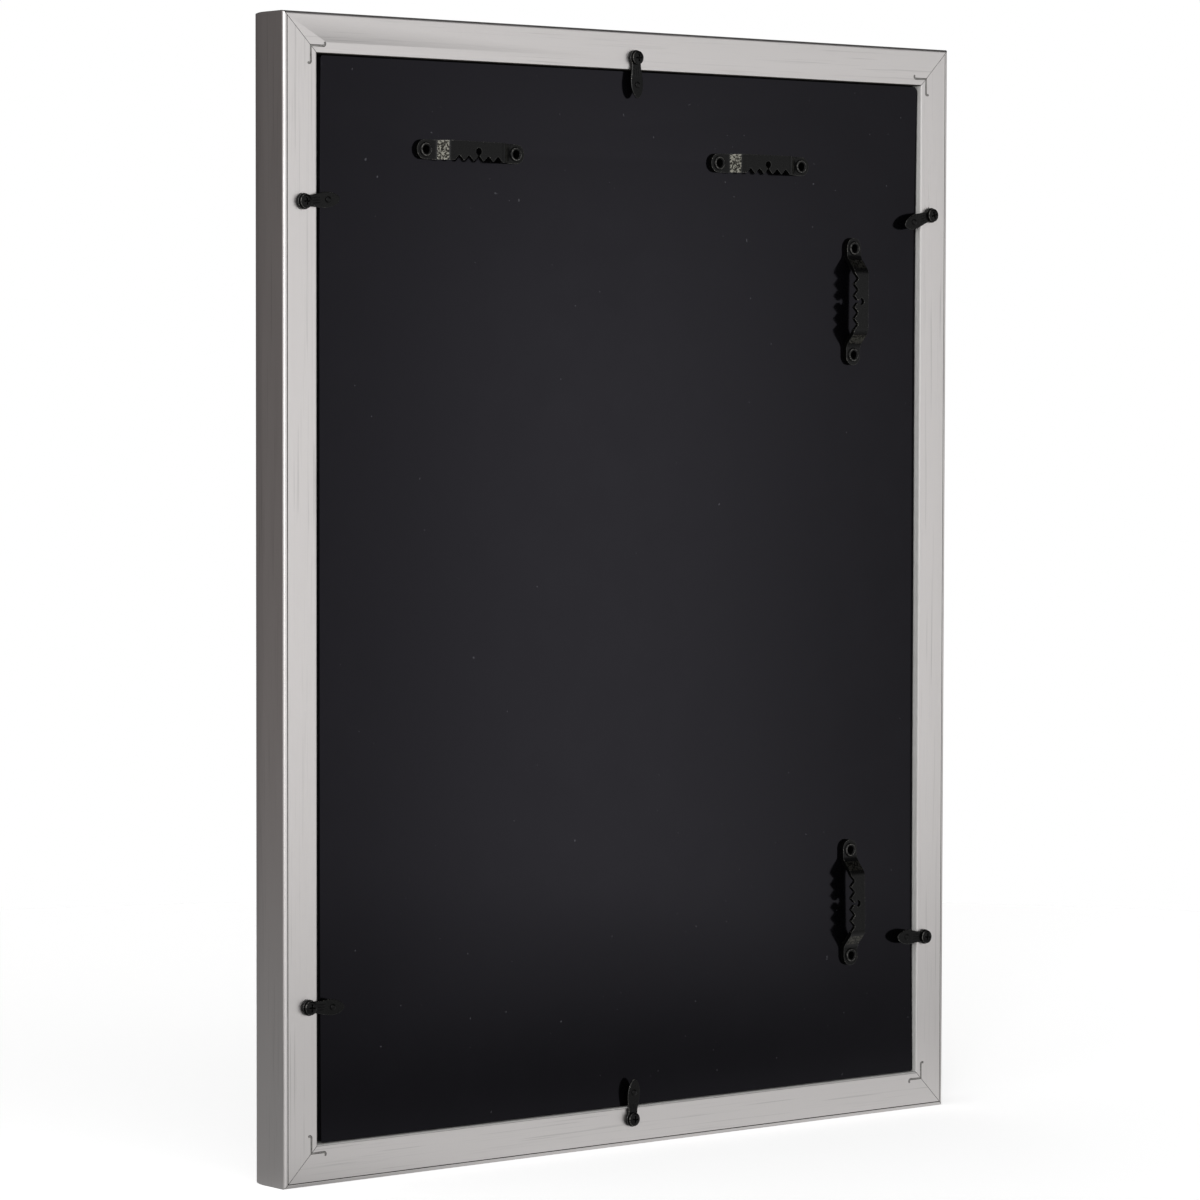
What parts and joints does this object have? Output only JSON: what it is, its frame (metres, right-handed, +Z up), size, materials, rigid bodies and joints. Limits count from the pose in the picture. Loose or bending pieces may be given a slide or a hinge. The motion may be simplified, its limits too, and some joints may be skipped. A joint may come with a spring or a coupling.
{
  "type": "collage photo frame",
  "caption": "Upright picture frame with mitred silver rails, glass, a window mat, a black backing board held by turn buttons, and sawtooth hangers for portrait or landscape hanging.",
  "frame": {"origin": "on the surface that the frame stands on, under the middle of its bounding box", "axes": "+Z up the height of the frame in portrait, -Y out of the glazed front, +Y out of the back, +X to the right as seen from the front"},
  "size_m": [0.3384, 0.0234, 0.44],
  "materials": {
    "silver_foil": "wood moulding wrapped in satin silver foil with fine lengthwise brushing",
    "nail_steel": "dull bare steel strip",
    "clear_glass": "clear flat picture glass",
    "mat_card": "smooth off-white mat card with white bevelled windows",
    "print_paper": null,
    "filler_card": "plain black card",
    "black_board": "hardboard painted semi-gloss black",
    "black_metal": "pressed steel with a black oxide and lacquer finish",
    "screw_metal": "black-finished screw with bright worn edges round its recess"
  },
  "bodies": {
    "frame": {"top_rail": "silver_foil", "bottom_rail": "silver_foil", "left_rail": "silver_foil", "right_rail": "silver_foil", "corner_nail_bottom_left": "nail_steel", "corner_nail_top_left": "nail_steel", "corner_nail_top_right": "nail_steel", "corner_nail_bottom_right": "nail_steel", "glass_pane": "clear_glass", "collage_mat": "mat_card", "photo_print_1": "print_paper", "photo_print_2": "print_paper", "photo_print_3": "print_paper", "photo_print_4": "print_paper", "filler_card": "filler_card", "backing_board": "black_board", "hanger_top_right": "black_metal", "hanger_top_left": "black_metal", "hanger_side_upper": "black_metal", "hanger_side_lower": "black_metal", "eyelet_top_right_a": "black_metal", "eyelet_top_right_b": "black_metal", "eyelet_top_left_a": "black_metal", "eyelet_top_left_b": "black_metal", "eyelet_side_upper_a": "black_metal", "eyelet_side_upper_b": "black_metal", "eyelet_side_lower_a": "black_metal", "eyelet_side_lower_b": "black_metal", "button_screw_top": "screw_metal", "button_screw_bottom": "screw_metal", "button_screw_right_upper": "screw_metal", "button_screw_right_lower": "screw_metal", "button_screw_left_upper": "screw_metal", "button_screw_left_lower": "screw_metal"},
    "button_top": {"turn_button_top": "black_metal"},
    "button_bottom": {"turn_button_bottom": "black_metal"},
    "button_right_upper": {"turn_button_right_upper": "black_metal"},
    "button_right_lower": {"turn_button_right_lower": "black_metal"},
    "button_left_upper": {"turn_button_left_upper": "black_metal"},
    "button_left_lower": {"turn_button_left_lower": "black_metal"}
  },
  "joints": [
    {"name": "top_button_turn", "type": "hinge", "parent": "frame", "child": "button_top", "pos_m": [0, 0.00855, 0.4295], "axis": [0, 1, 0], "continuous": true},
    {"name": "bottom_button_turn", "type": "hinge", "parent": "frame", "child": "button_bottom", "pos_m": [0.0005, 0.00855, 0.0106], "axis": [0, 1, 0], "continuous": true},
    {"name": "right_upper_button_turn", "type": "hinge", "parent": "frame", "child": "button_right_upper", "pos_m": [0.1604, 0.00855, 0.3695], "axis": [0, 1, 0], "continuous": true},
    {"name": "right_lower_button_turn", "type": "hinge", "parent": "frame", "child": "button_right_lower", "pos_m": [0.1584, 0.00855, 0.0678], "axis": [0, 1, 0], "continuous": true},
    {"name": "left_upper_button_turn", "type": "hinge", "parent": "frame", "child": "button_left_upper", "pos_m": [-0.1592, 0.00855, 0.3714], "axis": [0, 1, 0], "continuous": true},
    {"name": "left_lower_button_turn", "type": "hinge", "parent": "frame", "child": "button_left_lower", "pos_m": [-0.1576, 0.00855, 0.0718], "axis": [0, 1, 0], "continuous": true}
  ]
}
